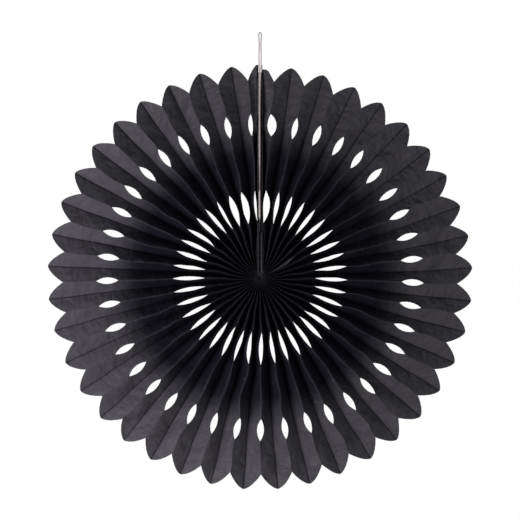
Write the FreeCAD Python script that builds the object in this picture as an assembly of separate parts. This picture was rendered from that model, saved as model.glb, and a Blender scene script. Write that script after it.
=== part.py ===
import FreeCAD, Part
import math
import os

from FreeCAD import Vector

os.makedirs("parts", exist_ok=True)

# A paper fan rosette: one long pleated sheet opened to a full disc, tied at its centre and
# closed at twelve o'clock between two stiff end cards, with a doubled thread to hang it by.
# The disc stands in the XZ plane and its front faces -Y. The origin is the disc's centre.
# Sizes are in millimetres. A radius is counted along a fold, from the centre.

# The pleated sheet
rosette_radius = 200.0  # to the tip of a petal
petal_count = 41
rim_depth = 7.34  # from the front folds to the back ones, where the sheet is open widest
paper_thickness = 0.3
centre_radius = 7.0  # where the inner ends of the folds crowd together
notch_depth = 15.0  # how far a front fold ends short of the petals' tips
petal_bulge = 1.4  # how far half a petal's end swells beyond a straight cut
trim_allowance = 1.0  # the sheet's length beyond the tips before its end is cut
bend_radii = [90.0, 140.0, 172.0]  # where a panel bends, as its folds draw nearer each other

# The two rings of almond holes, cut through the front folds
outer_hole_start = 132.9
outer_hole_end = 153.5
outer_hole_depth = 5.3  # from the fold, across the panel
inner_hole_start = 51.5
inner_hole_end = 81.9
inner_hole_depth = 7.0

# The seam at twelve o'clock
card_thickness = 0.8
tape_start = 8.0  # where the foam tape between the cards begins
tape_end = 193.0
tape_inset = 0.8  # from the back folds to the tape's back face
tape_clearance = 0.4  # between the tape's front face and the knot and thread before it

# The thread
thread_diameter = 1.2
strand_spacing = 1.5  # between the middles of the two strands
thread_clearance = 0.15  # between a strand and the card beside it
tie_radius = 11.0  # of the ring of thread that runs through every panel
tie_hole_clearance = 0.2  # between the ring and the edge of a panel's hole
knot_clearance = 0.1  # between the knot and the cards

# The thread's route, chosen by hand for one strand from the knot to the top of its loop:
# (how much further apart the strands are on each side, Y, Z)
strand_route = [
    (0.00, 0.0, 11.0),
    (0.00, -0.6, 25.0),
    (0.01, -3.0, 48.0),
    (0.00, -6.2, 84.0),
    (0.01, -7.3, 126.0),
    (0.00, -6.0, 168.0),
    (0.03, -4.9, 194.0),
    (0.55, -4.4, 208.0),
    (0.01, -4.2, 218.0),
    (0.55, -4.2, 225.5),
    (0.55, -4.2, 229.5),
]
arc_share = 0.45  # of the shorter of two runs, taken up by the arc between them

card_gap = strand_spacing + thread_diameter + 2 * thread_clearance
knot_radius = card_gap / 2 - knot_clearance
seam_half = card_gap / 2 + card_thickness + paper_thickness
blank_radius = rosette_radius + trim_allowance
panel_count = 2 * petal_count
up = Vector(0, 0, 1)
across = Vector(1, 0, 0)
backwards = Vector(0, 1, 0)


def polar(angle, radius):
    """The point of the disc's middle plane at an angle clockwise from twelve o'clock."""
    return Vector(radius * math.sin(angle), 0, radius * math.cos(angle))


def shared_out(fold, radius):
    """A fold's place on a circle that the folds share equally, less the seam's width."""
    seam_angle = math.asin(seam_half / radius)
    step = (2 * math.pi - 2 * seam_angle) / panel_count
    return polar(seam_angle + fold * step, radius)


def along_fold(fold, radius):
    """The point of a fold's straight line at a radius, seen from the front."""
    share = (radius - centre_radius) / (blank_radius - centre_radius)
    inner = shared_out(fold, centre_radius)
    return inner + (shared_out(fold, blank_radius) - inner) * share


def spacing(radius):
    """The distance between neighbouring folds, seen from the front."""
    return (along_fold(1, radius) - along_fold(0, radius)).Length


def panel_width():
    """The distance from one fold to the next, across the flat panel."""
    return math.hypot(spacing(blank_radius), rim_depth)


def ring_radii():
    """The radii of a panel's cross-sections, with straight runs of the folds between them."""
    bends = [radius for radius in bend_radii if radius < blank_radius]
    return [centre_radius] + bends + [blank_radius]


def pleat_depth(radius):
    """The distance between the front and back folds, so that the panel keeps its width."""
    radii = ring_radii()
    outer = next(r for r in radii[1:] if r >= radius or r == blank_radius)
    inner = radii[radii.index(outer) - 1]
    share = (radius - inner) / (outer - inner)
    ends = [math.sqrt(panel_width() ** 2 - spacing(r) ** 2) for r in (inner, outer)]
    return ends[0] + (ends[1] - ends[0]) * share


def is_front(fold):
    """Front folds stand towards the viewer; fold 0 and the last one are at the seam, behind."""
    return fold % 2 == 1


def skin(edge_points_a, edge_points_b):
    """The face between two straight edges: flat where it can be, and twisted where not."""
    a, b = edge_points_a
    c, d = edge_points_b
    twist = (b - a).cross(d - a).dot(c - a)
    if abs(twist) < 1e-6:
        return Part.Face(Part.makePolygon([a, b, d, c, a]))
    return Part.makeRuledSurface(Part.makeLine(a, b), Part.makeLine(c, d))


def solid_through(rings):
    """A closed solid through cross-sections, polygons with the same number of corners."""
    faces = [Part.Face(Part.makePolygon(ring + [ring[0]])) for ring in (rings[0], rings[-1])]
    for inner, outer in zip(rings, rings[1:]):
        for k in range(len(inner)):
            n = (k + 1) % len(inner)
            faces.append(skin((inner[k], inner[n]), (outer[k], outer[n])))
    shell = Part.Shell(faces)
    shell.sewShape()
    solid = Part.Solid(shell)
    if solid.Volume < 0:
        solid.reverse()
    return solid


def panel_section(panel, radius):
    """A panel's cross-section: a slanting strip with a narrow flat along each fold."""
    start = along_fold(panel, radius)
    end = along_fold(panel + 1, radius)
    along = (end - start).normalize()
    gap, depth = spacing(radius), pleat_depth(radius)
    flat = paper_thickness * math.hypot(gap, depth) / (gap + depth)
    side = -1 if is_front(panel) else 1
    near, far = side * depth / 2, -side * depth / 2
    inward = -side * flat
    return [
        start + backwards * near,
        start + along * flat + backwards * near,
        end + backwards * (far - inward),
        end + backwards * far,
        end - along * flat + backwards * far,
        start + backwards * (near + inward),
    ]


def prism(edges, direction):
    """A closed outline pushed along a direction."""
    return Part.Face(Part.Wire(edges)).extrude(direction)


def prism_through(edges):
    """A closed outline pushed through all the folds, from front to back."""
    cutter = prism(edges, backwards * 2 * panel_width())
    cutter.translate(backwards * -panel_width())
    return cutter


def arc_edge(start, middle, end):
    return Part.Arc(start, middle, end).toShape()


def hole_through_fold(fold, start, end, depth):
    """An almond, pointed at both ends of its stretch of the fold, seen from the front."""
    tip_a, tip_b = along_fold(fold, start), along_fold(fold, end)
    middle_radius = (start + end) / 2
    gap = spacing(middle_radius)
    half = depth * gap / math.hypot(gap, pleat_depth(middle_radius))
    aside = (tip_b - tip_a).cross(backwards).normalize() * half
    middle = (tip_a + tip_b) / 2
    edges = [arc_edge(tip_a, middle + aside, tip_b), arc_edge(tip_b, middle - aside, tip_a)]
    return prism_through(edges)


def end_outline(tip, notch, outward):
    """The cutter's edges beyond a panel's end: an arc from the tip to the notch."""
    chord = notch - tip
    beside = Vector(chord).normalize()
    normal = outward - beside * outward.dot(beside)
    middle = tip + chord / 2 + normal.normalize() * petal_bulge
    spread = chord - outward * chord.dot(outward)
    margin = spread.normalize() * 2 * trim_allowance
    reach = outward * 2 * (notch_depth + trim_allowance)
    corners = [notch, notch + margin, notch + margin + reach, tip - margin + reach]
    corners += [tip - margin, tip]
    lines = [Part.makeLine(a, b) for a, b in zip(corners, corners[1:])]
    return [arc_edge(tip, middle, notch)] + lines


def end_cut(panel):
    """What is cut off a panel's outer end, seen from the front."""
    front, back = (panel, panel + 1) if is_front(panel) else (panel + 1, panel)
    tip = along_fold(back, rosette_radius)
    notch = along_fold(front, rosette_radius - notch_depth)
    outward = Vector(tip).normalize()
    edges = end_outline(tip, notch, outward)
    return prism_through(edges)


def tie_hole(place, direction):
    """The round hole that the ring of thread passes through, at a place on the ring."""
    radius = thread_diameter / 2 + tie_hole_clearance
    half_length = 1.0
    return Part.makeCylinder(radius, 2 * half_length, place - direction * half_length, direction)


def panel_solid(panel):
    """One panel between two folds, with its half of the holes and of the petal's end."""
    rings = [panel_section(panel, radius) for radius in ring_radii()]
    front = panel if is_front(panel) else panel + 1
    middle = along_fold(panel, tie_radius) + along_fold(panel + 1, tie_radius)
    place = middle.normalize() * tie_radius
    cutters = [
        end_cut(panel),
        hole_through_fold(front, outer_hole_start, outer_hole_end, outer_hole_depth),
        hole_through_fold(front, inner_hole_start, inner_hole_end, inner_hole_depth),
        tie_hole(place, backwards.cross(place).normalize()),
    ]
    return solid_through(rings).cut(cutters)


def seam_point(x, radius, share):
    """A point in a flat layer of the seam; share is 0 at its front edge and 1 at the fold."""
    height = along_fold(0, radius).z
    return Vector(x, pleat_depth(radius) * (share - 0.5), height)


def seam_hole(x, width, start, end, depth):
    """Half an almond, cut into a seam layer's front edge."""
    tip_a, tip_b = seam_point(x, start, 0), seam_point(x, end, 0)
    middle = (tip_a + tip_b) / 2 + backwards * depth
    beyond = backwards * -panel_width()
    corners = [tip_b, tip_b + beyond, tip_a + beyond, tip_a]
    lines = [Part.makeLine(a, b) for a, b in zip(corners, corners[1:])]
    return prism([arc_edge(tip_a, middle, tip_b)] + lines, across * width)


def seam_layer(x, width):
    """A flat layer that lies in the seam: the sheet's end panel, or a card behind it."""
    rings = []
    for radius in ring_radii():
        back, front = seam_point(x, radius, 1), seam_point(x, radius, 0)
        rings.append([back, back + across * width, front + across * width, front])
    tip = seam_point(x, rosette_radius, 1)
    notch = seam_point(x, rosette_radius - notch_depth, 0)
    middle_x = x + width / 2
    place = Vector(middle_x, 0, math.sqrt(tie_radius**2 - middle_x**2))
    cutters = [
        prism(end_outline(tip, notch, up), across * width),
        seam_hole(x, width, outer_hole_start, outer_hole_end, outer_hole_depth),
        seam_hole(x, width, inner_hole_start, inner_hole_end, inner_hole_depth),
        tie_hole(place, across),
    ]
    return solid_through(rings).cut(cutters)


def pleated_paper():
    """The whole sheet: its panels all round, and an end panel on each side of the seam."""
    panels = [panel_solid(k) for k in range(panel_count)]
    ends = [
        seam_layer(seam_half - paper_thickness, paper_thickness),
        seam_layer(-seam_half, paper_thickness),
    ]
    return panels[0].multiFuse(panels[1:] + ends)


def end_card(side):
    """A stiff card glued to the sheet's end panel; side is 1 right and -1 left."""
    near = card_gap / 2 if side > 0 else -card_gap / 2 - card_thickness
    return seam_layer(near, card_thickness)


def foam_tape():
    """The double-sided foam tape that holds the two cards together, behind the knot."""
    low = along_fold(0, tape_start).z
    height = along_fold(0, tape_end).z - low
    front = knot_radius + tape_clearance
    back = pleat_depth(tape_end) / 2 - tape_inset
    corner = Vector(-card_gap / 2, front, low)
    return Part.makeBox(card_gap, back - front, height, corner)


def knot():
    """The knot that closes the tie, in the gap between the cards."""
    return Part.makeSphere(knot_radius, up * tie_radius)


def centre_tie():
    """The ring of thread through every panel, which draws the inner ends together."""
    ring = Part.makeTorus(tie_radius, thread_diameter / 2, Vector(), backwards)
    return ring.cut(knot())


def thread_line(points):
    """Straight runs joined by tangent arcs, each as large as its two runs allow."""
    edges = []
    last = points[0]
    for before, corner, after in zip(points, points[1:], points[2:]):
        way_in, way_out = corner - before, after - corner
        half_turn = way_in.getAngle(way_out) / 2
        shorter = min(way_in.Length, way_out.Length)
        cut = arc_share * shorter
        radius = cut / math.tan(half_turn)
        way_in.normalize()
        way_out.normalize()
        start, end = corner - way_in * cut, corner + way_out * cut
        towards = (way_out - way_in).normalize()
        inset = radius / math.cos(half_turn) - radius
        edges.append(Part.makeLine(last, start))
        edges.append(arc_edge(start, corner + towards * inset, end))
        last = end
        print(f"hanging_thread: turn {math.degrees(2 * half_turn):.1f} deg, radius {radius:.1f} mm")
    edges.append(Part.makeLine(last, points[-1]))
    return Part.Wire(edges)


def hanging_thread():
    """The thread from the knot up one side of its loop, over the top and down the other."""
    out = strand_spacing / 2
    left = [Vector(-out - x, y, z) for x, y, z in strand_route]
    right = [Vector(out + x, y, z) for x, y, z in reversed(strand_route)]
    line = thread_line(left + right)
    profile = Part.Wire(Part.makeCircle(thread_diameter / 2, left[0], left[1] - left[0]))
    tube = line.makePipeShell([profile], True, False)
    section = math.pi * thread_diameter**2 / 4
    print(f"hanging_thread: length {line.Length:.1f} mm, volume over section times length "
          f"{tube.Volume / (section * line.Length):.4f}")
    return tube.cut([knot(), centre_tie()])


nodes = {
    "pleated_paper": pleated_paper(),
    "end_card_left": end_card(-1),
    "end_card_right": end_card(1),
    "foam_tape": foam_tape(),
    "centre_tie": centre_tie(),
    "tie_knot": knot(),
    "hanging_thread": hanging_thread(),
}
for name, shape in nodes.items():
    shape.exportStep(f"parts/{name}.step")
    print(f"{name}: {len(shape.Solids)} solid, {shape.Volume:.1f} mm3, valid {shape.isValid()}")
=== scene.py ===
import math

import bpy
import numpy as np
from bpy.props import FloatProperty, FloatVectorProperty, IntProperty, PointerProperty
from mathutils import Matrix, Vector


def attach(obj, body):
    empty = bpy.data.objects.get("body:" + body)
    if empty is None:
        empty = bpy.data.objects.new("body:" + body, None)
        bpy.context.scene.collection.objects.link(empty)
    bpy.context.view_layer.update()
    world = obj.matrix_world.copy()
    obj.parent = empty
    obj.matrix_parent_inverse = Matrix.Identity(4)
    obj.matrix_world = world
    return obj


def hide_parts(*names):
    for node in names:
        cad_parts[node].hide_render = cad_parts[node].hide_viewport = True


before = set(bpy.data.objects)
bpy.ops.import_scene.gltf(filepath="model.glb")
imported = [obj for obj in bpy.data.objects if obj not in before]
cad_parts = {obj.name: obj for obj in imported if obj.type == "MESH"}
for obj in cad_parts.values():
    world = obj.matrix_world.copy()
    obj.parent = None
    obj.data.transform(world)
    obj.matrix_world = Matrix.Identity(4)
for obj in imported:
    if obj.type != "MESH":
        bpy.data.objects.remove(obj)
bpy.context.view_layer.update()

bl_info = {
    "name": "Paper Fan Rosette",
    "version": (1, 0, 0),
    "blender": (4, 5, 0),
    "location": "3D View > Sidebar > Paper Fan",
    "description": "Makes a hanging rosette of pleated paper with its end cards, foam tape and threads",
    "category": "Add Mesh",
}

BODY = "root"

# The thread's route on one side of its loop, from the knot to the top, in metres:
# (how much further out than half the strand spacing, Y, Z)
STRAND_ROUTE = [
    (0.00000, 0.0000, 0.0110),
    (0.00000, -0.0006, 0.0250),
    (0.00001, -0.0030, 0.0480),
    (0.00000, -0.0062, 0.0840),
    (0.00001, -0.0073, 0.1260),
    (0.00000, -0.0060, 0.1680),
    (0.00003, -0.0049, 0.1940),
    (0.00055, -0.0044, 0.2080),
    (0.00001, -0.0042, 0.2180),
    (0.00055, -0.0042, 0.2255),
    (0.00055, -0.0042, 0.2295),
]

# Places where the paper beside a ridge is pressed flat:
# (front fold, where it starts and ends along the fold, width, side, bow to the right), in metres
PRESSED_PLACES = [
    (13, 0.0080, 0.0400, 0.0030, 1, 0.0012),
    (1, 0.0010, 0.0085, 0.0009, -1, 0.0),
    (3, 0.0012, 0.0070, 0.0008, 1, 0.0003),
    (81, 0.0010, 0.0075, 0.0006, 1, 0.0),
]

# Folds that stand off their even places: the fold, and how far clockwise it
# stands at the inner holes, at the outer holes and at the rim, in metres
DRAWN_FOLDS = [
    (0, 0.0, 0.0, 0.0),
    (1, -0.0009, 0.0009, 0.0008),
    (5, -0.0005, 0.0011, 0.0012),
    (11, -0.0004, 0.0012, 0.0015),
    (20, -0.0010, 0.0002, -0.0002),
    (29, -0.0018, -0.0011, -0.0020),
    (35, -0.0013, -0.0010, -0.0020),
    (42, -0.0005, 0.0002, -0.0005),
    (49, 0.0009, 0.0013, 0.0007),
    (57, 0.0022, 0.0025, 0.0018),
    (66, 0.0029, 0.0028, 0.0020),
    (73, 0.0028, 0.0026, 0.0017),
    (76, 0.0020, 0.0014, 0.0011),
    (79, 0.0031, 0.0034, 0.0023),
    (81, 0.0033, 0.0036, 0.0022),
    (82, 0.0, 0.0, 0.0),
]

# Folds with holes cut wider or narrower than the others:
# fold: how many times as wide the outer hole is, and the inner one
ODD_HOLES = {
    1: (1.55, 2.15),
    3: (0.85, 1.05),
    73: (1.0, 0.95),
    75: (1.0, 0.85),
    77: (1.0, 1.55),
    79: (1.0, 1.75),
    81: (1.0, 1.10),
}

# The free front edges of the two panels on the end cards: the radius, how far
# the panel wraps over its card's edge, the free edge's X and how far it lies behind the front folds
RIGHT_FREE_EDGE = [
    (0.000, 1, -0.0001, 0.0030),
    (0.036, 1, -0.0001, 0.0034),
    (0.042, 1, 0.0010, 0.0010),
    (0.048, 0, 0.0020, 0.0),
]
LEFT_FREE_EDGE = [
    (0.000, 1, 0.0001, 0.0030),
    (0.036, 1, 0.0001, 0.0034),
    (0.046, 1, -0.0014, 0.0008),
    (0.056, 1, -0.0015, 0.0001),
]

# How far the right strand slips behind the left one on its way down, for each
# point of the route: to the left and back
STRAND_SLIP = [
    (0, 0),
    (0, 0),
    (0.0005, 0.0008),
    (0.0007, 0.0010),
    (0.0006, 0.0009),
    (0.0007, 0.0010),
]

# How far the two panels beside the seam bulge forward at their outer ends: the
# share of the way from the back fold to the front one, and the bulges left and right of the seam
SEAM_BULGE = [
    (0.0, 0.0, 0.0),
    (0.035, 0.0063, 0.0063),
    (0.12, 0.0054, 0.0059),
    (0.30, 0.0030, 0.0047),
    (0.52, 0.0002, 0.0031),
    (0.76, -0.0005, 0.0015),
    (0.93, -0.0003, 0.0004),
    (1.0, 0.0, 0.0),
]
# The radii where that bulge starts and where it is full
SEAM_BULGE_START = 0.108
SEAM_BULGE_FULL = 0.136

# The radii within which panels crowd fully to their front folds and beyond which they don't, and
# how steeply: near the centre a panel's X and Z change late on the way from its back fold
CROWDED_FULL = 0.014
CROWDED_END = 0.050
CROWDED_REACH = 1.25
CROWDED_POWER = 9

# How many folds right of the seam are cut short, and the radii between which the painted shade inside the
# fan gives way to the paper's own tone on the petals
SHORT_FOLDS = 8
PAINTED_SHADE_ENDS = 0.110
PETALS_START = 0.149

# The mesh: rows that follow the cut end, the radius where they start, the columns of a panel, the
# share of it beside its front edge, and the largest part that a hole takes of a whole row
END_ROWS = 9
CUT_BLEND = 0.172
COLUMN_SHARES = np.array([0.0, 0.035, 0.12, 0.30, 0.52, 0.76, 0.93, 1.0])
CREASE_SHARE = 0.03
WHOLE = 1e-6

# How the free front edges lie on the cards: how far in front of them, and the X where they turn
CARD_CLEARANCE = 0.00012
CARD_EDGE_X = 0.00145

# The dimple in the front folds at the very centre: its depth and its radius
DIMPLE_DEPTH = 0.0035
DIMPLE_RADIUS = 0.0016

# Thread: the length of a step along it, and the sides of one ply
THREAD_STEP = 0.0003
PLY_SIDES = 6

# Paper: waves to a metre across and along its panels, how far behind a front fold its painted light
# starts to fade and its painted shade is full, the width of the painted shade line in a back fold, and its
# gloss
FINE_WAVES = (120, 330, 1)
SOFT_WAVES = (55, 95, 1)
CRUSHED_WAVES = (62, 88, 1)
RIDGE_LIGHT_TO = 0.0004
RIDGE_DARK_FROM = 0.0034
CREASE_WIDTH = 0.0006
PAPER_SPECULAR = 0.12
LINT_COLOUR = (0.32, 0.31, 0.31)
LINT_SHARE = 0.14

# The lamps: where each one stands, and the side of its square
KEY_LAMP = ((-0.38, -0.38, -0.14), 0.30)
FILL_LAMP = ((0.9, -1.3, -0.7), 0.9)
BACK_LAMP = ((-0.9, 1.3, 0.9), 0.9)
FLOOR_REACH = 2.6


def length_property(name, description, default):
    """A size in metres for a group of settings."""
    return FloatProperty(name=name, description=description, default=default, unit="LENGTH", precision=5)


def share_property(name, description, default):
    """A share of one panel for a group of settings."""
    return FloatProperty(name=name, description=description, default=default, min=0, max=1)


def power_property(name, description, default):
    """A lamp's power in watts for a group of settings."""
    return FloatProperty(name=name, description=description, default=default, min=0, unit="POWER")


def colour_property(name, description, default):
    """A linear colour for a group of settings."""
    return FloatVectorProperty(
        name=name, description=description, default=default, subtype="COLOR", size=3, min=0, max=1
    )


class FanSheetSizes(bpy.types.PropertyGroup):
    """Sizes of the pleated sheet, counted along its folds from the centre."""

    rosette_radius: length_property("Rosette radius", "From the centre to a petal's tip", 0.2)
    petal_count: IntProperty(name="Petals", description="Petals round the disc", default=41, min=8)
    panel_width: length_property("Panel width", "From one fold to the next, across the flat panel", 0.0170)
    crowd_radius: length_property("Crowding radius", "Where the folds crowd together", 0.007)
    core_radius: length_property("Core radius", "Where the folds end", 0.00008)
    trim_allowance: length_property("Trim allowance", "The sheet's length beyond the tips", 0.001)
    notch_depth: length_property("Notch depth", "How far a front fold ends short of the tips", 0.0153)
    petal_roundness: FloatProperty(
        name="Petal roundness", description="Higher is blunter at the tips", default=1.6, min=1, max=3
    )
    sheet_thickness: length_property("Sheet thickness", "Thickness of the paper", 0.00011)
    outer_hole_start: length_property("Outer hole start", "Inner point of the outer holes", 0.1329)
    outer_hole_end: length_property("Outer hole end", "Outer point of the outer holes", 0.1535)
    outer_hole_depth: length_property("Outer hole depth", "From the fold, across the panel", 0.0048)
    inner_hole_start: length_property("Inner hole start", "Inner point of the inner holes", 0.0515)
    inner_hole_end: length_property("Inner hole end", "Outer point of the inner holes", 0.0819)
    inner_hole_depth: length_property("Inner hole depth", "From the fold, across the panel", 0.0062)
    seam_half: length_property("Half seam", "From the seam's middle to the sheet's last folds", 0.00236)
    seam_panel_share: share_property("Seam panel share", "Spread of the panels beside the seam", 0.74)
    uneven: share_property("Uneven spacing", "How unevenly the folds stand, in panels", 0.03)
    lean: share_property("Lean", "How far the ridges lean to the left, in panels", 0.07)
    wander: length_property("Ridge wander", "How far a ridge strays to either side", 0.00060)
    belly: length_property("Panel belly", "How far a panel swells between its folds", 0.00065)
    wrinkle: length_property("Wrinkle height", "Height of the creases across a panel", 0.00048)
    short_side: length_property("Short side", "How much is missing at the rim, right of the seam", 0.0012)
    blunt_end: length_property("Blunt end", "Where the half petal right of the seam is cut off", 0.1953)
    groove: length_property("Groove", "How far a back fold is pressed back", 0.00040)
    seed: IntProperty(name="Seed", description="Picks another set of creases", default=41, min=0)


class FanThreadSizes(bpy.types.PropertyGroup):
    """Sizes of the doubled thread, of the ring that ties the centre and of its knot."""

    diameter: length_property("Thread diameter", "Across all its plies", 0.0012)
    spacing: length_property("Strand spacing", "Between the middles of the two strands", 0.0012)
    length: length_property("Thread length", "From the knot over the top and back", 0.439)
    ply_count: IntProperty(name="Plies", description="Yarns twisted together", default=3, min=2, max=6)
    ply_pitch: length_property("Ply pitch", "Length of one full twist", 0.0034)
    tie_radius: length_property("Tie radius", "Radius of the ring through the panels", 0.011)
    knot_radius: length_property("Knot radius", "Half the knot's width", 0.0014)


class FanFinish(bpy.types.PropertyGroup):
    """Colours of the paper, with its painted shade and painted light, card, foam and thread."""

    paper: colour_property("Paper", "Dyed crinkled paper", (0.0770, 0.0720, 0.0850))
    # Painted shade: the paper's colour deep between the folds inside the fan, far darker than its own tone
    paper_painted_shade: colour_property("Paper inside", "Deep between the folds", (0.0088, 0.0085, 0.0135))
    # Painted light: a lighter colour on the front folds near the centre, where they catch the light
    ridge_painted_light: colour_property("Paper ridge", "Front folds near the centre", (0.0290, 0.0270, 0.0350))
    card: colour_property("Card", "End cards", (0.012, 0.0115, 0.0145))
    foam: colour_property("Foam", "Foam tape between the cards", (0.03, 0.03, 0.032))
    thread: colour_property("Thread", "Cotton thread", (0.80, 0.71, 0.69))


class FanStage(bpy.types.PropertyGroup):
    """The studio: camera, lamps and floor."""

    camera_distance: length_property("Camera distance", "From the disc's middle plane", 2.0)
    view_width: length_property("View width", "Width of the picture at the disc", 0.4888)
    aim: FloatVectorProperty(
        name="Aim", description="Where the camera points", default=(0.0, 0.0, 0.0163), subtype="XYZ", size=3
    )
    floor_drop: length_property("Floor drop", "From the disc's centre down to the floor", 1.9)
    key_power: power_property("Key power", "Power of the main lamp", 3.1)
    fill_power: power_property("Fill power", "Power of the soft front lamp", 8.5)
    back_power: power_property("Back power", "Power of the lamp behind", 9.0)
    ambient: FloatProperty(name="Ambient", description="Strength of the light from all round", default=0.02)


def between(start, end, radius):
    """0 outside the stretch, rising smoothly to 1 halfway along it."""
    share = np.clip((radius - start) / (end - start), 0, 1)
    return np.sin(np.pi * share) ** 2


def ramp(start, end, radius):
    """A smooth step from 0 at the start to 1 at the end."""
    share = np.clip((radius - start) / (end - start), 0, 1)
    return share * share * (3 - 2 * share)


class Waves:
    """A smooth wandering line: a few sine waves of drawn lengths, phases and heights."""

    def __init__(self, draw, count, shortest, longest):
        self.length = draw.uniform(shortest, longest, count)
        self.phase = draw.uniform(0, 2 * np.pi, count)
        self.height = draw.normal(0, 1, count) / math.sqrt(count)

    def at(self, radius):
        turns = np.asarray(radius)[..., None] / self.length
        return (self.height * np.sin(2 * np.pi * turns + self.phase)).sum(-1)


class Ridge:
    """How one front fold strays from its straight line, and where it is pressed flat."""

    # Each row of waves is a count, the shortest and the longest. Lengths are in metres; the tilt
    # is a slope, CORE_STRAY a share of the spacing and HOLD a share of the wander
    WANDER_WAVES = (3, 0.026, 0.07)
    RISE_WAVES = (3, 0.018, 0.05)
    CORE_WAVES = (2, 0.022, 0.045)
    BOW_SPREAD = 0.00055
    TILT_SPREAD = 0.12
    LEAST_WIDTH = 0.00005
    RIM_WIDTH = 0.0004
    MIDDLE_WIDTH = 0.0002
    MIDDLE_PLACES = (0.092, 0.124)
    MIDDLE_REACHES = (0.010, 0.022)
    RISE_HEIGHT = 0.00022
    CORE_STRAY = 0.18
    INNER_HOLES_HOLD = (0.050, 0.086)
    OUTER_HOLES_HOLD = (0.130, 0.158)
    HOLD = 0.65
    STRAIGHT_AGAIN = 0.187

    def __init__(self, draw, sizes, fold):
        self.sizes = sizes
        self.wander = Waves(draw, *self.WANDER_WAVES)
        self.rise = Waves(draw, *self.RISE_WAVES)
        self.core_wander = Waves(draw, *self.CORE_WAVES)
        self.bow = draw.normal(0, self.BOW_SPREAD)
        self.side = 1 if draw.random() < 0.5 else -1
        self.tilt = draw.normal(0, self.TILT_SPREAD)
        rim_width = self.LEAST_WIDTH + self.RIM_WIDTH * draw.random() ** 1.6
        middle = draw.uniform(*self.MIDDLE_PLACES)
        reach = draw.uniform(*self.MIDDLE_REACHES)
        middle_width = self.MIDDLE_WIDTH * draw.random() ** 1.5
        self.pressed = [
            (sizes.outer_hole_end, sizes.rosette_radius - sizes.notch_depth, rim_width, 0.0),
            (middle - reach, middle + reach, middle_width, 0.0),
        ]
        for place in PRESSED_PLACES:
            if place[0] == fold:
                self.side = place[4]
                self.pressed.append((place[1], place[2], place[3], place[5]))

    def width(self, radius, spacing):
        """How wide the ridge is pressed flat."""
        crowd = 0.1 * spacing * (1 - ramp(0.004, 0.009, radius))
        total = np.minimum(self.LEAST_WIDTH, 0.2 * spacing) + crowd
        for start, end, width, _ in self.pressed:
            total = total + width * between(start, end, radius)
        return np.minimum(total, 1.3 * spacing)

    def aside(self, radius, spacing):
        """How far the ridge strays clockwise."""
        sizes = self.sizes
        free = ramp(0.040, 0.050, radius) * (1 - ramp(0.176, self.STRAIGHT_AGAIN, radius))
        held = 1 - self.HOLD * between(*self.INNER_HOLES_HOLD, radius)
        held = held - self.HOLD * between(*self.OUTER_HOLES_HOLD, radius)
        stray = sizes.wander * self.wander.at(radius) * free * held
        stray = stray + self.bow * between(sizes.outer_hole_end, self.STRAIGHT_AGAIN, radius)
        core = self.CORE_STRAY * spacing * np.tanh(self.core_wander.at(radius))
        core = core * (1 - ramp(0.034, 0.050, radius))
        lean = -sizes.lean * spacing * ramp(0.012, 0.06, radius)
        lean = lean * (1 - ramp(0.14, self.STRAIGHT_AGAIN, radius))
        for start, end, _, bow in self.pressed:
            stray = stray + bow * between(start, end, radius)
        return stray + core * ramp(0.0009, 0.006, radius) + lean

    def lift(self, radius):
        """How far the ridge rises or sinks, front to back."""
        return self.RISE_HEIGHT * self.rise.at(radius) * ramp(0.006, 0.03, radius)


class PanelRelief:
    """The bellies, creases and waves of one panel between its two folds."""

    BELLY_WAVES = (3, 0.022, 0.075)
    SKEW_WAVES = (2, 0.03, 0.08)
    CREASE_PLACES = np.array([0.1705, 0.1625, 0.154, 0.1135, 0.0900, 0.1240, 0.1030])
    CREASE_HEIGHTS = np.array([1.3, 0.8, 1.1, 1.1, 1.2, 0.7, 0.7])
    PLACE_SPREAD = 0.0024
    REACHES = (0.0022, 0.0042)
    SLANT_SPREAD = 0.0045
    # Where a crease is highest and how wide it is, in shares of the panel's width
    MIDDLES = (0.1, 1.0)
    CREASE_WIDTH_SHARE = 0.35
    BELLY_OUTWARD = 0.25

    def __init__(self, draw, sizes):
        self.sizes = sizes
        self.belly = Waves(draw, *self.BELLY_WAVES)
        self.skew = Waves(draw, *self.SKEW_WAVES)
        count = len(self.CREASE_PLACES)
        self.place = self.CREASE_PLACES + draw.normal(0, self.PLACE_SPREAD, count)
        self.height = draw.normal(0, 1, count) * self.CREASE_HEIGHTS
        self.reach = draw.uniform(*self.REACHES, count)
        self.slant = draw.normal(0, self.SLANT_SPREAD, count)
        self.middle = draw.uniform(*self.MIDDLES, count)

    def at(self, share, radius):
        """How far the paper stands out towards the viewer; share is 0 behind and 1 in front."""
        sizes = self.sizes
        swell = np.sin(np.pi * np.clip(share, 0, 1) ** (1 + 0.25 * self.skew.at(radius)))
        calm = ramp(0.010, 0.060, radius)
        out = sizes.belly * (self.belly.at(radius) + self.BELLY_OUTWARD) * swell * calm
        for place, height, reach, slant, middle in zip(
            self.place, self.height, self.reach, self.slant, self.middle
        ):
            off = (radius - place - slant * (share - 0.5)) / reach
            tent = np.clip(1 - np.abs(off), 0, 1)
            window = np.exp(-(((share - middle) / self.CREASE_WIDTH_SHARE) ** 2))
            window = window * np.clip(6 * (1 - share), 0, 1)
            out = out + sizes.wrinkle * height * tent * window * np.clip(4 * share, 0, 1)
        return out


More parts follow.
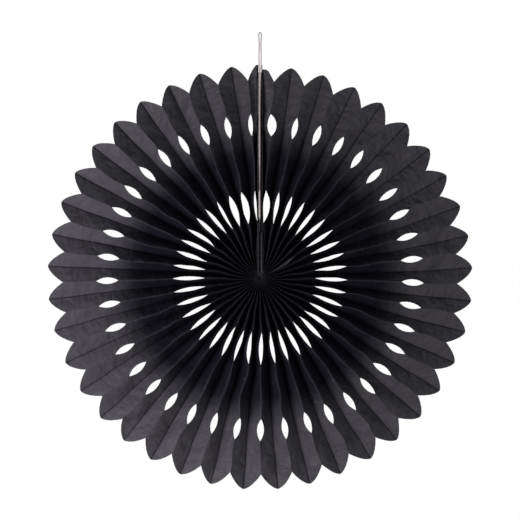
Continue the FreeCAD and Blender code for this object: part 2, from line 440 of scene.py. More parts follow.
class PleatedSheet:
    """The whole sheet: where its folds run and how its panels lie, in metres."""

    VALLEY_WAVES = (2, 0.03, 0.08)
    VALLEY_STRAY = 0.00012

    def __init__(self, sizes):
        self.sizes = sizes
        self.panel_count = 2 * sizes.petal_count
        self.blank_radius = sizes.rosette_radius + sizes.trim_allowance
        draw = np.random.default_rng(sizes.seed)
        self.shares = self.fold_shares(draw)
        anchors = np.array(DRAWN_FOLDS)
        folds = np.arange(self.panel_count + 1) * anchors[-1, 0] / self.panel_count
        self.drawn = [np.interp(folds, anchors[:, 0], anchors[:, k]) for k in (1, 2, 3)]
        self.ridges = {k: Ridge(draw, sizes, k) for k in range(1, self.panel_count, 2)}
        self.reliefs = [PanelRelief(draw, sizes) for _ in range(self.panel_count + 2)]
        self.valley_waves = [Waves(draw, *self.VALLEY_WAVES) for _ in range(self.panel_count + 1)]

    def fold_shares(self, draw):
        """Each fold's place round the disc, counted in panels from the seam."""
        widths = np.ones(self.panel_count)
        widths[0] = widths[-1] = self.sizes.seam_panel_share
        shares = np.concatenate([[0], np.cumsum(widths)])
        shares[1:-1] += draw.normal(0, self.sizes.uneven, self.panel_count - 1)
        return shares * self.panel_count / shares[-1]

    def around(self, fold, radius, seam_half):
        """A fold's place on a circle, seen from the front."""
        seam_angle = math.asin(seam_half / radius)
        step = (2 * math.pi - 2 * seam_angle) / self.panel_count
        angle = seam_angle + self.shares[fold] * step
        return np.array([radius * math.sin(angle), radius * math.cos(angle)])

    def line(self, fold, radius):
        """Points of a fold's line, and the direction across it, clockwise, as (x, z) pairs."""
        sizes = self.sizes
        core = self.around(fold, sizes.core_radius, 0.1 * sizes.core_radius)
        inner = self.around(fold, sizes.crowd_radius, sizes.seam_half)
        outer = self.around(fold, self.blank_radius, sizes.seam_half)
        out = np.clip((radius - sizes.crowd_radius) / (self.blank_radius - sizes.crowd_radius), 0, 2)
        down = np.clip((sizes.crowd_radius - radius) / (sizes.crowd_radius - sizes.core_radius), 0, 1)
        points = inner + (outer - inner) * out[..., None] + (core - inner) * down[..., None]
        along = (outer - inner) / np.linalg.norm(outer - inner)
        across = np.array([along[1], -along[0]])
        at_inner_holes, at_outer_holes, at_rim = (offsets[fold] for offsets in self.drawn)
        drawn = at_inner_holes * ramp(0.018, 0.050, radius)
        drawn = drawn + (at_outer_holes - at_inner_holes) * ramp(0.085, 0.132, radius)
        drawn = drawn + (at_rim - at_outer_holes) * ramp(0.155, 0.180, radius)
        return points + across * drawn[..., None], across

    def spacing(self, radius):
        """The distance between neighbouring folds, seen from the front."""
        sizes = self.sizes
        seam_angle = math.asin(sizes.seam_half / sizes.crowd_radius)
        inner = sizes.crowd_radius * (2 * math.pi - 2 * seam_angle) / self.panel_count
        outer = self.blank_radius * 2 * math.pi / self.panel_count
        core = sizes.core_radius * 2 * math.pi / self.panel_count
        radii = [sizes.core_radius, sizes.crowd_radius, self.blank_radius]
        return np.interp(radius, radii, [core, inner, outer])

    def depth(self, radius):
        """The distance between the front and back folds."""
        return np.sqrt(self.sizes.panel_width**2 - self.spacing(radius) ** 2)

    def point(self, fold, radius, aside, y):
        """Points beside a fold's line: how far clockwise of it, and their Y."""
        points, across = self.line(fold, radius)
        x = points[..., 0] + across[0] * aside
        z = points[..., 1] + across[1] * aside
        return np.stack([x, y, z], axis=-1)

    def valley(self, fold, radius):
        """A back fold, which stays nearly straight."""
        stray = self.VALLEY_STRAY * self.valley_waves[fold].at(radius) * ramp(0.02, 0.05, radius)
        if fold in (0, self.panel_count):
            stray = 0 * stray
        return self.point(fold, radius, stray, self.depth(radius) / 2)

    def ridge_lines(self, fold, radius, side):
        """The two edges of a front fold's flat: the one beside a panel, and the shared one.

        The side is 1 for the panel that lies clockwise of the fold, and -1 for the other."""
        sizes = self.sizes
        ridge = self.ridges[fold]
        spacing = self.spacing(radius)
        depth = self.depth(radius)
        width = ridge.width(radius, spacing)
        middle = ridge.aside(radius, spacing)
        sunk = np.minimum(0.5 * width * depth / spacing, 1.1 * width)
        dimple = DIMPLE_DEPTH * (1 - ramp(sizes.core_radius, DIMPLE_RADIUS, radius))
        y = -depth / 2 + sunk * 0.85 + ridge.lift(radius) + dimple
        shared = self.point(fold, radius, middle - ridge.side * width / 2, y + ridge.tilt * width)
        if side != ridge.side:
            return None, shared
        beside = self.point(fold, radius, middle + ridge.side * width / 2, y - ridge.tilt * width)
        return beside, shared

    def cut_short(self, fold):
        """How far a fold ends short of the others, at the rim."""
        return self.sizes.short_side * max(0, 1 - fold / SHORT_FOLDS)

    def petal_end(self, share, front_fold, back_fold):
        """Where the sheet is cut, along the fold's direction; share is 0 behind and 1 in front."""
        sizes = self.sizes
        tip = sizes.rosette_radius - self.cut_short(back_fold)
        notch = sizes.rosette_radius - sizes.notch_depth - self.cut_short(front_fold)
        end = tip + (notch - tip) * np.clip(share, 0, 1) ** sizes.petal_roundness
        if back_fold == 0:
            end = np.minimum(end, sizes.blunt_end)
        return end

    def hole_share(self, radius, fold):
        """How much of a panel's width the almond holes take away, from its front fold."""
        sizes = self.sizes
        taken = np.zeros_like(radius)
        outer_gain, inner_gain = ODD_HOLES.get(fold, (1.0, 1.0))
        for start, end, depth in (
            (sizes.outer_hole_start, sizes.outer_hole_end, sizes.outer_hole_depth * outer_gain),
            (sizes.inner_hole_start, sizes.inner_hole_end, sizes.inner_hole_depth * inner_gain),
        ):
            middle = (start + end) / 2
            half = (end - start) / 2
            rise = depth / sizes.panel_width * self.spacing(middle)
            arc = (half**2 + rise**2) / (2 * rise)
            off = np.clip(np.abs(radius - middle), 0, half)
            swell = np.sqrt(arc**2 - off**2) - (arc - rise)
            taken = np.maximum(taken, np.clip(swell, 0, None) / self.spacing(middle))
        return taken


def row_radii(sizes):
    """The rows of the mesh along a fold, up to where they start to follow the cut end."""
    def even(start, end, count):
        return start + (end - start) * np.arange(count) / count

    def close_at_ends(start, end, count):
        return start + (end - start) * (1 - np.cos(np.pi * np.arange(count) / count)) / 2

    return np.concatenate([
        even(sizes.core_radius, sizes.crowd_radius, 4),
        even(sizes.crowd_radius, sizes.inner_hole_start, 12),
        close_at_ends(sizes.inner_hole_start, sizes.inner_hole_end, 10),
        even(sizes.inner_hole_end, sizes.outer_hole_start, 17),
        close_at_ends(sizes.outer_hole_start, sizes.outer_hole_end, 8),
        even(sizes.outer_hole_end, CUT_BLEND, 7),
    ])


def bend_over_card(points, radius, taken, side):
    """Bends an end panel's front edge over its card; side is 1 right of the seam and -1 left."""
    edge = np.array(RIGHT_FREE_EDGE if side == 1 else LEFT_FREE_EDGE)
    wrap, edge_x, sunk = (np.interp(radius, edge[:, 0], edge[:, k]) for k in (1, 2, 3))
    wrap = wrap * np.clip(1 - taken / 0.05, 0, 1)
    near = ramp(0.001, 0.007, radius)
    own_x, front_y = points[:, -1, 0].copy(), points[:, -1, 1].copy()
    card_x = side * np.minimum(CARD_EDGE_X, 0.6 * np.abs(own_x))
    places = (
        (-3, own_x, front_y - CARD_CLEARANCE),
        (-2, card_x, front_y - CARD_CLEARANCE),
        (-1, edge_x * near, front_y + sunk * near),
    )
    for column, x, y in places:
        points[:, column, 0] += (x - points[:, column, 0]) * wrap
        points[:, column, 1] += (y - points[:, column, 1]) * wrap


def folds_of(sheet, panel):
    """The side that a panel lies on of its front fold, or of the seam, and its two folds.

    Panels 0 to the last go round clockwise. Two more lie on the end cards, and have the front
    folds of their neighbours."""
    last = sheet.panel_count
    if panel >= last:
        return (1, 1, 0) if panel == last else (-1, last - 1, last)
    return (1, panel, panel + 1) if panel % 2 == 1 else (-1, panel + 1, panel)


def crowd_to_front(back, front, share, radius):
    """Points between two folds, which draw in to the front fold's plane near the centre."""
    points = back + (front - back) * share[..., None]
    steep = np.clip(CROWDED_REACH * share, 0, 1) ** CROWDED_POWER
    crowded = share + (steep - share) * (1 - ramp(CROWDED_FULL, CROWDED_END, radius))
    for k in (0, 2):
        points[..., k] = back[..., k] + (front - back)[..., k] * crowded
    return points


def panel_grid(sheet, panel):
    """The points of one panel as rows and columns, from its back fold to its front edge."""
    sizes = sheet.sizes
    rows = row_radii(sizes)
    last = sheet.panel_count
    side, front_fold, back_fold = folds_of(sheet, panel)
    taken = sheet.hole_share(rows, front_fold if panel < last else back_fold)
    taken = np.concatenate([taken, np.zeros(END_ROWS)])
    crease = 1 - taken - CREASE_SHARE
    share = np.concatenate([COLUMN_SHARES[None, :] * crease[:, None], (1 - taken)[:, None]], axis=1)
    radius = np.repeat(np.concatenate([rows, np.zeros(END_ROWS)])[:, None], share.shape[1], axis=1)
    steps = np.linspace(0, 1, END_ROWS)[:, None]
    cut = sheet.petal_end(share[-END_ROWS:], front_fold, back_fold)
    radius[-END_ROWS:] = CUT_BLEND + (cut - CUT_BLEND) * steps

    back = sheet.valley(back_fold, radius)
    if panel >= last:
        front = back.copy()
        front[..., 1] = -sheet.depth(radius) / 2
        beside = None
    else:
        beside, front = sheet.ridge_lines(front_fold, radius, side)
    points = crowd_to_front(back, front, share, radius)
    if beside is not None:
        bent = crowd_to_front(back, beside, share / crease[:, None], radius)
        bent[:, -1] = front[:, -1]
        points = np.where((taken < WHOLE)[:, None, None], bent, points)
    across = front - back
    forward = np.gradient(points, axis=0)
    normal = np.cross(forward, across)
    normal /= np.linalg.norm(normal, axis=-1)[..., None]
    normal *= -np.sign(normal[..., 1:2])
    if panel < last:
        relief = sheet.reliefs[panel].at(share, radius)
        relief[:, 0] = 0
        relief[:, -1] = 0
        points = points + normal * relief[..., None]
    else:
        bend_over_card(points, radius[:, -1], taken, side)
    if panel in (0, last - 1):
        shares, left, right = np.array(SEAM_BULGE).T
        bulge = np.interp(share, shares, right if panel == 0 else left)
        points[..., 1] -= bulge * ramp(SEAM_BULGE_START, SEAM_BULGE_FULL, radius)
    points[:, 0, 1] += sizes.groove * ramp(0.03, 0.09, radius[:, 0])
    return points, share, radius, taken


def build_sheet_mesh(sheet):
    """One welded mesh of all the panels, with its sheet coordinates and sharp folds."""
    vertices = []
    faces = []
    coordinates = []
    sharp = []
    shared = {}

    def place(point, key):
        if key is not None and key in shared:
            return shared[key]
        vertices.append(point)
        if key is not None:
            shared[key] = len(vertices) - 1
        return len(vertices) - 1

    for panel in range(sheet.panel_count + 2):
        points, share, radius, taken = panel_grid(sheet, panel)
        count = share.shape[1]
        side, front_fold, back_fold = folds_of(sheet, panel)
        if panel >= sheet.panel_count:
            side, front_fold = -side, None
        index = np.zeros(share.shape, int)
        for i in range(share.shape[0]):
            for j in range(count):
                key = None
                if j == 0:
                    key = ("back", back_fold, i)
                elif j == count - 1 and taken[i] < WHOLE and front_fold is not None:
                    key = ("front", front_fold, i)
                index[i, j] = place(points[i, j], key)
        across = (panel + 0.5) * sheet.sizes.panel_width
        across_of = across + side * (0.5 - share) * sheet.sizes.panel_width
        for i in range(share.shape[0] - 1):
            for j in range(count - 1):
                ring = [(i, j), (i + 1, j), (i + 1, j + 1), (i, j + 1)]
                if side == 1:
                    ring.reverse()
                faces.append([index[r] for r in ring])
                coordinates.extend((across_of[r], radius[r]) for r in ring)
            sharp.append((index[i, 0], index[i + 1, 0]))
            sharp.append((index[i, count - 1], index[i + 1, count - 1]))
            if front_fold is not None and taken[i] < WHOLE and taken[i + 1] < WHOLE:
                sharp.append((index[i, count - 2], index[i + 1, count - 2]))
        sharp.extend(zip(index[-1, :-1], index[-1, 1:]))
    return vertices, faces, coordinates, sharp


def new_mesh_object(name, vertices, faces):
    """A mesh object in the scene."""
    mesh = bpy.data.meshes.new(name)
    mesh.from_pydata([tuple(v) for v in vertices], [], [[int(i) for i in f] for f in faces])
    mesh.validate(clean_customdata=False)
    obj = bpy.data.objects.new(name, mesh)
    bpy.context.scene.collection.objects.link(obj)
    return obj


def shade_smooth(mesh):
    """Smooth shading over the whole mesh."""
    mesh.polygons.foreach_set("use_smooth", np.ones(len(mesh.polygons), bool))


def make_paper_fan(sizes, material):
    """The pleated sheet, a replacement for the plain one of the frame."""
    sheet = PleatedSheet(sizes)
    vertices, faces, coordinates, sharp = build_sheet_mesh(sheet)
    obj = new_mesh_object("paper_fan", vertices, faces)
    mesh = obj.data
    layer = mesh.uv_layers.new(name="sheet")
    layer.uv.foreach_set("vector", np.array(coordinates, np.float32).ravel())
    shade_smooth(mesh)
    pairs = {tuple(sorted(pair)) for pair in sharp}
    marks = np.zeros(len(mesh.edges), bool)
    for edge in mesh.edges:
        marks[edge.index] = tuple(sorted(edge.vertices)) in pairs
    attribute = mesh.attributes.new("sharp_edge", "BOOLEAN", "EDGE")
    attribute.data.foreach_set("value", marks)
    solid = obj.modifiers.new("thickness", "SOLIDIFY")
    solid.thickness = sizes.sheet_thickness
    solid.offset = 0
    mesh.materials.append(material)
    return obj


def strand_points(threads):
    """The thread's route, from the knot up the left strand and down the right one."""
    out = threads.spacing / 2
    left = [(-out - x, y, z) for x, y, z in STRAND_ROUTE]
    slips = STRAND_SLIP + [(0, 0)] * (len(STRAND_ROUTE) - len(STRAND_SLIP))
    right = [(out + x - aside, y + behind, z) for (x, y, z), (aside, behind) in zip(STRAND_ROUTE, slips)]
    return left + right[::-1]


def smooth_line(name, points):
    """The points of a smooth curve that has these control points."""
    curve = bpy.data.curves.new(name, "CURVE")
    curve.dimensions = "3D"
    spline = curve.splines.new("NURBS")
    spline.points.add(len(points) - 1)
    for point, target in zip(spline.points, points):
        point.co = (*target, 1)
    spline.order_u = 3
    spline.use_endpoint_u = True
    spline.resolution_u = 12
    holder = bpy.data.objects.new(name, curve)
    bpy.context.scene.collection.objects.link(holder)
    line = bpy.data.meshes.new_from_object(holder)
    found = np.array([v.co for v in line.vertices])
    bpy.data.objects.remove(holder)
    bpy.data.meshes.remove(line)
    bpy.data.curves.remove(curve)
    return found


def evenly(points, step):
    """The same line, with its points about one step apart."""
    runs = np.linalg.norm(np.diff(points, axis=0), axis=1)
    along = np.concatenate([[0], np.cumsum(runs)])
    count = max(2, int(round(along[-1] / step)))
    wanted = np.linspace(0, along[-1], count + 1)
    line = np.stack([np.interp(wanted, along, points[:, k]) for k in range(3)], axis=1)
    return line, wanted


def carried_frames(line, closed):
    """Two directions square to the line at each point, turning with it as little as they can."""
    ahead = np.roll(line, -1, axis=0) - np.roll(line, 1, axis=0) if closed else np.gradient(line, axis=0)
    ahead /= np.linalg.norm(ahead, axis=1)[:, None]
    first = np.cross(ahead[0], (0.3, 0.9, 0.1))
    first /= np.linalg.norm(first)
    ups = [first]
    for tangent in ahead[1:]:
        turned = ups[-1] - tangent * ups[-1].dot(tangent)
        ups.append(turned / np.linalg.norm(turned))
    ups = np.array(ups)
    return ups, np.cross(ahead, ups)


def tube_rings(line, radius, sides, closed):
    """Vertices and faces of a round tube along a line, with its ends closed."""
    ups, asides = carried_frames(line, closed)
    turn = 2 * np.pi * np.arange(sides) / sides
    radius = np.broadcast_to(radius, (len(line),))
    ring = np.cos(turn)[None, :, None] * ups[:, None, :] + np.sin(turn)[None, :, None] * asides[:, None, :]
    vertices = (line[:, None, :] + ring * radius[:, None, None]).reshape(-1, 3)
    faces = []
    spans = len(line) if closed else len(line) - 1
    for i in range(spans):
        n = (i + 1) % len(line)
        for k in range(sides):
            m = (k + 1) % sides
            faces.append([i * sides + k, i * sides + m, n * sides + m, n * sides + k])
    if not closed:
        faces.append(list(range(sides))[::-1])
        faces.append([(len(line) - 1) * sides + k for k in range(sides)])
    return vertices, faces


def twisted_thread(name, points, threads, closed, seed):
    """A thread of several plies twisted round each other along a line."""
    line, along = evenly(points, THREAD_STEP)
    if closed:
        line, along = line[:-1], along[:-1]
    total = along[-1] + THREAD_STEP
    turns = max(1, round(total / threads.ply_pitch))
    ups, asides = carried_frames(line, closed)
    ply_radius = threads.diameter / 2 / (1 + 1 / math.sin(math.pi / threads.ply_count))
    helix_radius = threads.diameter / 2 - ply_radius
    draw = np.random.default_rng(seed)
    vertices = []
    faces = []
    for ply in range(threads.ply_count):
        angle = 2 * np.pi * (turns * along / total + ply / threads.ply_count)
        swell = 1 + 0.07 * Waves(draw, 4, 0.004, 0.02).at(along)
        centre = line + helix_radius * (
            np.cos(angle)[:, None] * ups + np.sin(angle)[:, None] * asides
        )
        ring, quads = tube_rings(centre, ply_radius * swell, PLY_SIDES, closed)
        start = sum(len(v) for v in vertices)
        vertices.append(ring)
        faces += [[i + start for i in quad] for quad in quads]
    obj = new_mesh_object(name, np.concatenate(vertices), faces)
    shade_smooth(obj.data)
    return obj


def make_hanging_thread(threads, material):
    """The doubled thread that the rosette hangs by."""
    line = smooth_line("thread_route", strand_points(threads))
    obj = twisted_thread("hanging_thread_plies", line, threads, False, 7)
    obj.data.materials.append(material)
    return obj, line


def make_centre_tie(threads, material):
    """The ring of thread that runs through every panel."""
    angle = np.linspace(0, 2 * np.pi, 241)
    ring = threads.tie_radius * np.stack([np.sin(angle), 0 * angle, np.cos(angle)], axis=1)
    obj = twisted_thread("centre_tie_plies", ring, threads, True, 11)
    obj.data.materials.append(material)
    return obj


def make_tie_knot(threads, material):
    """The knot of the tie: one thread wound through itself."""
    angle = np.linspace(0, 2 * np.pi, 121)[:-1]
    reach = threads.knot_radius / 4.1
    x = reach * (np.sin(angle) + 1.5 * np.sin(2 * angle))
    z = reach * (np.cos(angle) - 1.5 * np.cos(2 * angle))
    y = -reach * 1.2 * np.sin(3 * angle)
    line = np.stack([x, y, z + threads.tie_radius], axis=1)
    vertices, faces = tube_rings(line, threads.knot_radius * 0.3, 10, True)
    obj = new_mesh_object("tie_knot_loops", vertices, faces)
    shade_smooth(obj.data)
    obj.data.materials.append(material)
    return obj


def new_group(name, inputs, outputs):
    """An empty shader node group with named sockets; inputs are (name, default) pairs."""
    if name in bpy.data.node_groups:
        bpy.data.node_groups.remove(bpy.data.node_groups[name])
    group = bpy.data.node_groups.new(name, "ShaderNodeTree")
    for label, default in inputs:
        kind = "NodeSocketVector" if default is None else "NodeSocketFloat"
        socket = group.interface.new_socket(name=label, in_out="INPUT", socket_type=kind)
        if default is not None:
            socket.default_value = default
    for label in outputs:
        group.interface.new_socket(name=label, in_out="OUTPUT", socket_type="NodeSocketFloat")
    return group, group.nodes.new("NodeGroupInput"), group.nodes.new("NodeGroupOutput")


def add_math(tree, operation, first, second, clamp=False):
    """A math node; each operand is a socket or a number."""
    node = tree.nodes.new("ShaderNodeMath")
    node.operation = operation
    node.use_clamp = clamp
    for socket, value in zip(node.inputs, (first, second)):
        if isinstance(value, (int, float)):
            socket.default_value = value
        else:
            tree.links.new(value, socket)
    return node.outputs[0]


def weighted_sum(tree, *parts):
    """The sum of sockets, each times its weight."""
    total = add_math(tree, "MULTIPLY", *parts[0])
    for part in parts[1:]:
        total = add_math(tree, "ADD", total, add_math(tree, "MULTIPLY", *part))
    return total


def fold_at_middle(tree, noise):
    """Noise folded at its middle value, which gives it sharp lines."""
    return add_math(tree, "ABSOLUTE", add_math(tree, "SUBTRACT", noise, 0.5), 0)


def add_noise(tree, vector, scale, detail, roughness=0.5, stretch=(1, 1, 1)):
    """Noise over a vector that may be stretched first."""
    mapping = tree.nodes.new("ShaderNodeMapping")
    mapping.inputs["Scale"].default_value = stretch
    tree.links.new(vector, mapping.inputs["Vector"])
    noise = tree.nodes.new("ShaderNodeTexNoise")
    noise.inputs["Detail"].default_value = detail
    noise.inputs["Roughness"].default_value = roughness
    if isinstance(scale, (int, float)):
        noise.inputs["Scale"].default_value = scale
    else:
        tree.links.new(scale, noise.inputs["Scale"])
    tree.links.new(mapping.outputs[0], noise.inputs["Vector"])
    return noise.outputs[0]


def build_fibre_group():
    """Fine fibres: a height and a tone that change over the surface."""
    group, given, made = new_group("fibre_grain", [("Vector", None), ("Scale", 900.0)], ["Height", "Tone"])
    fine = add_noise(group, given.outputs["Vector"], given.outputs["Scale"], 3, 0.6)
    broad = add_noise(group, given.outputs["Vector"], 60.0, 2)
    group.links.new(fine, made.inputs["Height"])
    group.links.new(weighted_sum(group, (fine, 0.45), (broad, 0.55)), made.inputs["Tone"])
    return group


def build_dust_group():
    """Sparse pale specks of lint: 1 on a speck and 0 elsewhere."""
    inputs = [("Vector", None), ("Scale", 160.0), ("Size", 0.05)]
    group, given, made = new_group("lint_specks", inputs, ["Mask"])
    cells = group.nodes.new("ShaderNodeTexVoronoi")
    group.links.new(given.outputs["Vector"], cells.inputs["Vector"])
    group.links.new(given.outputs["Scale"], cells.inputs["Scale"])
    near = add_math(group, "LESS_THAN", cells.outputs["Distance"], given.outputs["Size"])
    split = group.nodes.new("ShaderNodeSeparateColor")
    group.links.new(cells.outputs["Color"], split.inputs[0])
    few = add_math(group, "GREATER_THAN", split.outputs[0], 1 - LINT_SHARE)
    group.links.new(add_math(group, "MULTIPLY", near, few), made.inputs["Mask"])
    return group


def place_group(tree, group, vector, **values):
    """Places a node group in a material with its own values."""
    node = tree.nodes.new("ShaderNodeGroup")
    node.node_tree = group
    tree.links.new(vector, node.inputs["Vector"])
    for name, value in values.items():
        node.inputs[name].default_value = value
    return node


def new_material(name):
    """A material with an empty Principled shader, and where its surface points are."""
    material = bpy.data.materials.new(name)
    material.use_nodes = True
    tree = material.node_tree
    shader = next(n for n in tree.nodes if n.type == "BSDF_PRINCIPLED")
    place = tree.nodes.new("ShaderNodeTexCoord").outputs["Object"]
    return material, tree, shader, place


def colour_between(tree, factor, dark, light):
    """A colour that goes from dark to light with a factor."""
    mix = tree.nodes.new("ShaderNodeMix")
    mix.data_type = "RGBA"
    tree.links.new(factor, mix.inputs[0])
    for socket, value in ((mix.inputs[6], dark), (mix.inputs[7], light)):
        if isinstance(value, tuple):
            socket.default_value = (*value, 1)
        else:
            tree.links.new(value, socket)
    return mix.outputs[2]


def scaled(colour, factor):
    """A colour made lighter or darker."""
    return tuple(min(1.0, c * factor) for c in colour)


def add_bump(tree, height, strength, distance, below=None):
    """A bump node over an earlier one."""
    bump = tree.nodes.new("ShaderNodeBump")
    bump.inputs["Strength"].default_value = strength
    bump.inputs["Distance"].default_value = distance
    tree.links.new(height, bump.inputs["Height"])
    if below is not None:
        tree.links.new(below, bump.inputs["Normal"])
    return bump.outputs[0]


def coordinates_of(tree, vector):
    """The first two coordinates of a vector."""
    split = tree.nodes.new("ShaderNodeSeparateXYZ")
    tree.links.new(vector, split.inputs[0])
    return split.outputs[0], split.outputs[1]


def add_smooth_step(tree, value, start, end):
    """A smooth step of a value, from 0 at the start to 1 at the end."""
    node = tree.nodes.new("ShaderNodeMapRange")
    node.interpolation_type = "SMOOTHSTEP"
    node.inputs["From Min"].default_value = start
    node.inputs["From Max"].default_value = end
    tree.links.new(value, node.inputs["Value"])
    return node.outputs[0]


def make_paper_material(finish, sizes, fibres, dust):
    """Black dyed paper, crushed into soft creases, with painted shade that darkens it towards the centre of
    the fan and deep between its folds, painted light on its front folds near the centre, and a line of
    painted shade in each back fold.
    """
    colour, inside, ridge = (tuple(c) for c in (finish.paper, finish.paper_painted_shade, finish.ridge_painted_light))
    material, tree, shader, place = new_material("crinkled_paper")
    sheet = tree.nodes.new("ShaderNodeUVMap")
    sheet.uv_map = "sheet"
    flat = sheet.outputs[0]
    grain = place_group(tree, fibres, place, Scale=1300.0)
    specks = place_group(tree, dust, place, Scale=75.0, Size=0.035)
    crossways = add_noise(tree, flat, 1.0, 3, 0.55, FINE_WAVES)
    soft = add_noise(tree, flat, 1.0, 2, 0.5, SOFT_WAVES)
    crushed = add_noise(tree, flat, 1.0, 1, 0.5, CRUSHED_WAVES)
    ridged = fold_at_middle(tree, crossways)
    creased = fold_at_middle(tree, crushed)
    height = weighted_sum(tree, (ridged, 0.6), (soft, 1.8), (creased, 2.8))
    tone = weighted_sum(tree, (grain.outputs["Tone"], 0.6), (soft, 0.4))
    across, along = coordinates_of(tree, flat)
    # Painted shade: inside the fan the petals' own tone gives way to painted shade and painted light
    painted_shade_fade = add_smooth_step(tree, along, PAINTED_SHADE_ENDS, PETALS_START)
    away = add_math(tree, "PINGPONG", across, sizes.panel_width)
    behind = add_math(tree, "SUBTRACT", sizes.panel_width, away)
    # Painted light on the front folds, fading into painted shade deep between them
    ridge_light_to_shade = add_smooth_step(tree, behind, RIDGE_LIGHT_TO, RIDGE_DARK_FROM)
    within = colour_between(tree, ridge_light_to_shade, ridge, inside)
    body = colour_between(tree, painted_shade_fade, within, colour)
    shade = add_math(tree, "ADD", add_math(tree, "MULTIPLY", tone, 0.5), 0.5)
    body = colour_between(tree, shade, scaled(inside, 0.1), body)
    body = colour_between(tree, specks.outputs["Mask"], body, LINT_COLOUR)
    # Painted shade: a dark line along each back fold, where shade falls in the crease
    crease = add_math(tree, "MULTIPLY", away, 1 / CREASE_WIDTH, clamp=True)
    body = colour_between(tree, crease, scaled(colour, 0.1), body)
    tree.links.new(body, shader.inputs["Base Color"])
    shader.inputs["Specular IOR Level"].default_value = PAPER_SPECULAR
    rough = add_math(tree, "ADD", add_math(tree, "MULTIPLY", crossways, 0.16), 0.42)
    tree.links.new(rough, shader.inputs["Roughness"])
    normal = add_bump(tree, height, 1.0, 0.0010)
    normal = add_bump(tree, grain.outputs["Height"], 0.25, 0.00006, normal)
    tree.links.new(normal, shader.inputs["Normal"])
    return material


def make_card_material(colour, fibres, dust):
    """Smooth dark card with a faint fibre."""
    material, tree, shader, place = new_material("end_card")
    grain = place_group(tree, fibres, place, Scale=700.0)
    specks = place_group(tree, dust, place, Scale=90.0, Size=0.03)
    body = colour_between(tree, grain.outputs["Tone"], scaled(colour, 0.7), scaled(colour, 1.3))
    body = colour_between(tree, specks.outputs["Mask"], body, (0.25, 0.24, 0.24))
    tree.links.new(body, shader.inputs["Base Color"])
    rough = add_math(tree, "ADD", add_math(tree, "MULTIPLY", grain.outputs["Tone"], 0.2), 0.5)
    tree.links.new(rough, shader.inputs["Roughness"])
    shader.inputs["Specular IOR Level"].default_value = PAPER_SPECULAR
    tree.links.new(add_bump(tree, grain.outputs["Height"], 0.3, 0.00008), shader.inputs["Normal"])
    return material


def make_foam_material(colour, fibres):
    """Dark foam with small open cells."""
    material, tree, shader, place = new_material("foam_tape")
    grain = place_group(tree, fibres, place, Scale=400.0)
    cells = tree.nodes.new("ShaderNodeTexVoronoi")
    cells.inputs["Scale"].default_value = 2600.0
    tree.links.new(place, cells.inputs["Vector"])
    body = colour_between(tree, grain.outputs["Tone"], scaled(colour, 0.6), scaled(colour, 1.5))
    tree.links.new(body, shader.inputs["Base Color"])
    shader.inputs["Roughness"].default_value = 0.85
    shader.inputs["Specular IOR Level"].default_value = 0.2
    normal = add_bump(tree, cells.outputs["Distance"], 0.8, 0.0002)
    tree.links.new(normal, shader.inputs["Normal"])
    return material


def make_thread_material(colour, fibres):
    """Pale cotton, a little darker between its fibres."""
    material, tree, shader, place = new_material("cotton_thread")
    grain = place_group(tree, fibres, place, Scale=2600.0)
    body = colour_between(tree, grain.outputs["Tone"], scaled(colour, 0.72), scaled(colour, 1.15))
    tree.links.new(body, shader.inputs["Base Color"])
    shader.inputs["Roughness"].default_value = 0.8
    shader.inputs["Specular IOR Level"].default_value = 0.25
    shader.inputs["Sheen Weight"].default_value = 0.3
    tree.links.new(add_bump(tree, grain.outputs["Height"], 0.6, 0.0001), shader.inputs["Normal"])
    return material


def make_floor_material():
    """A pale floor that shows nearly white and keeps a soft shadow."""
    material, tree, shader, place = new_material("studio_floor")
    mottle = add_noise(tree, place, 3.0, 2)
    pale = colour_between(tree, mottle, (0.86, 0.86, 0.86), (0.9, 0.9, 0.9))
    tree.links.new(pale, shader.inputs["Base Color"])
    shader.inputs["Roughness"].default_value = 0.9
    return material


def shared_groups():
    """The node groups that more than one material uses."""
    groups = bpy.data.node_groups
    fibres = groups.get("fibre_grain") or build_fibre_group()
    dust = groups.get("lint_specks") or build_dust_group()
    return fibres, dust


def cotton(scene):
    """The thread material, made once."""
    found = bpy.data.materials.get("cotton_thread")
    return found or make_thread_material(tuple(scene.fan_finish.thread), shared_groups()[0])


def dress(node, material):
    """Gives a piece of the frame its material."""
    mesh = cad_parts[node].data
    mesh.materials.clear()
    mesh.materials.append(material)


class FAN_OT_pleated_sheet(bpy.types.Operator):
    """Folds the sheet of paper into the round fan"""

    bl_idname = "paper_fan.pleated_sheet"
    bl_label = "Pleated Sheet"

    def execute(self, context):
        fibres, dust = shared_groups()
        sizes = context.scene.fan_sheet
        material = make_paper_material(context.scene.fan_finish, sizes, fibres, dust)
        obj = make_paper_fan(sizes, material)
        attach(obj, BODY)
        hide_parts("pleated_paper")
        return {"FINISHED"}


class FAN_OT_end_cards(bpy.types.Operator):
    """Finishes the two stiff cards at the seam"""

    bl_idname = "paper_fan.end_cards"
    bl_label = "End Cards"

    def execute(self, context):
        material = make_card_material(tuple(context.scene.fan_finish.card), *shared_groups())
        dress("end_card_left", material)
        dress("end_card_right", material)
        return {"FINISHED"}


class FAN_OT_foam_tape(bpy.types.Operator):
    """Finishes the foam tape between the cards"""

    bl_idname = "paper_fan.foam_tape"
    bl_label = "Foam Tape"

    def execute(self, context):
        dress("foam_tape", make_foam_material(tuple(context.scene.fan_finish.foam), shared_groups()[0]))
        return {"FINISHED"}


class FAN_OT_centre_tie(bpy.types.Operator):
    """Twists the ring of thread through the panels and ties its knot"""

    bl_idname = "paper_fan.centre_tie"
    bl_label = "Centre Tie"

    def execute(self, context):
        threads = context.scene.fan_thread
        material = cotton(context.scene)
        for obj, node in (
            (make_centre_tie(threads, material), "centre_tie"),
            (make_tie_knot(threads, material), "tie_knot"),
        ):
            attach(obj, BODY)
            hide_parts(node)
        return {"FINISHED"}


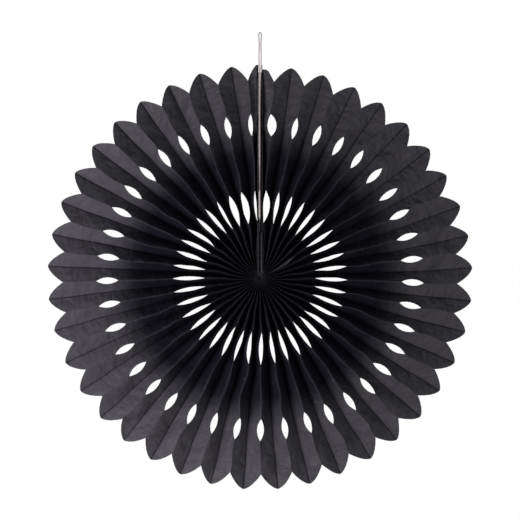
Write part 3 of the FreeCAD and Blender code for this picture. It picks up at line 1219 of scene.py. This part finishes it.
class FAN_OT_hanging_thread(bpy.types.Operator):
    """Twists the doubled thread that the rosette hangs by"""

    bl_idname = "paper_fan.hanging_thread"
    bl_label = "Hanging Thread"

    def execute(self, context):
        threads = context.scene.fan_thread
        obj, line = make_hanging_thread(threads, cotton(context.scene))
        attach(obj, BODY)
        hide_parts("hanging_thread")
        return {"FINISHED"}


def add_lamp(name, place, side, power):
    """A soft square lamp that points at the disc's centre."""
    data = bpy.data.lights.new(name, "AREA")
    data.shape = "SQUARE"
    data.size = side
    data.energy = power
    lamp = bpy.data.objects.new(name, data)
    lamp.location = place
    lamp.rotation_euler = (-Vector(place)).to_track_quat("-Z", "Y").to_euler()
    bpy.context.scene.collection.objects.link(lamp)


class FAN_OT_studio(bpy.types.Operator):
    """Sets the camera, the lamps, the floor and the light from all round"""

    bl_idname = "paper_fan.studio"
    bl_label = "Studio"

    def execute(self, context):
        scene = context.scene
        stage = scene.fan_stage
        camera = bpy.data.objects.new("camera", bpy.data.cameras.new("camera"))
        camera.data.sensor_width = 36.0
        camera.data.lens = camera.data.sensor_width * stage.camera_distance / stage.view_width
        camera.data.clip_end = 50.0
        camera.location = Vector(stage.aim) - Vector((0, stage.camera_distance, 0))
        camera.rotation_euler = (math.pi / 2, 0, 0)
        scene.collection.objects.link(camera)
        scene.camera = camera

        add_lamp("key_lamp", *KEY_LAMP, stage.key_power)
        add_lamp("fill_lamp", *FILL_LAMP, stage.fill_power)
        add_lamp("back_lamp", *BACK_LAMP, stage.back_power)

        corners = [(-1, -1), (1, -1), (1, 1), (-1, 1)]
        corners = [(FLOOR_REACH * x, FLOOR_REACH * y, -stage.floor_drop) for x, y in corners]
        floor = new_mesh_object("floor", corners, [[0, 1, 2, 3]])
        floor.data.materials.append(make_floor_material())

        world = bpy.data.worlds.new("studio_light")
        scene.world = world
        world.use_nodes = True
        tree = world.node_tree
        background = next(n for n in tree.nodes if n.type == "BACKGROUND")
        background.inputs["Color"].default_value = (1, 1, 1, 1)
        path = tree.nodes.new("ShaderNodeLightPath")
        seen = add_math(tree, "ADD", path.outputs["Is Camera Ray"], path.outputs["Is Glossy Ray"])
        seen = add_math(tree, "ADD", seen, path.outputs["Is Transmission Ray"], clamp=True)
        strength = add_math(tree, "ADD", add_math(tree, "MULTIPLY", seen, 1 - stage.ambient), stage.ambient)
        tree.links.new(strength, background.inputs["Strength"])
        scene.view_settings.view_transform = "Standard"
        return {"FINISHED"}


class FAN_PT_sidebar(bpy.types.Panel):
    """Lists the pieces of the paper fan"""

    bl_label = "Paper Fan"
    bl_idname = "FAN_PT_sidebar"
    bl_space_type = "VIEW_3D"
    bl_region_type = "UI"
    bl_category = "Paper Fan"

    def draw(self, context):
        for operator in OPERATORS:
            self.layout.operator(operator.bl_idname)
        for settings in (context.scene.fan_sheet, context.scene.fan_thread, context.scene.fan_finish):
            for name in settings.__annotations__:
                self.layout.prop(settings, name)


SETTINGS = (
    ("fan_sheet", FanSheetSizes),
    ("fan_thread", FanThreadSizes),
    ("fan_finish", FanFinish),
    ("fan_stage", FanStage),
)
OPERATORS = (
    FAN_OT_studio,
    FAN_OT_hanging_thread,
    FAN_OT_centre_tie,
    FAN_OT_end_cards,
    FAN_OT_foam_tape,
    FAN_OT_pleated_sheet,
)


def register():
    for name, settings in SETTINGS:
        bpy.utils.register_class(settings)
        setattr(bpy.types.Scene, name, PointerProperty(type=settings))
    for operator in OPERATORS:
        bpy.utils.register_class(operator)
    bpy.utils.register_class(FAN_PT_sidebar)


def unregister():
    bpy.utils.unregister_class(FAN_PT_sidebar)
    for operator in reversed(OPERATORS):
        bpy.utils.unregister_class(operator)
    for name, settings in reversed(SETTINGS):
        delattr(bpy.types.Scene, name)
        bpy.utils.unregister_class(settings)


def main():
    """Makes every piece and the studio."""
    register()
    bpy.ops.paper_fan.studio()
    bpy.ops.paper_fan.hanging_thread()
    bpy.ops.paper_fan.centre_tie()
    bpy.ops.paper_fan.end_cards()
    bpy.ops.paper_fan.foam_tape()
    bpy.ops.paper_fan.pleated_sheet()


if __name__ == "__main__":
    main()
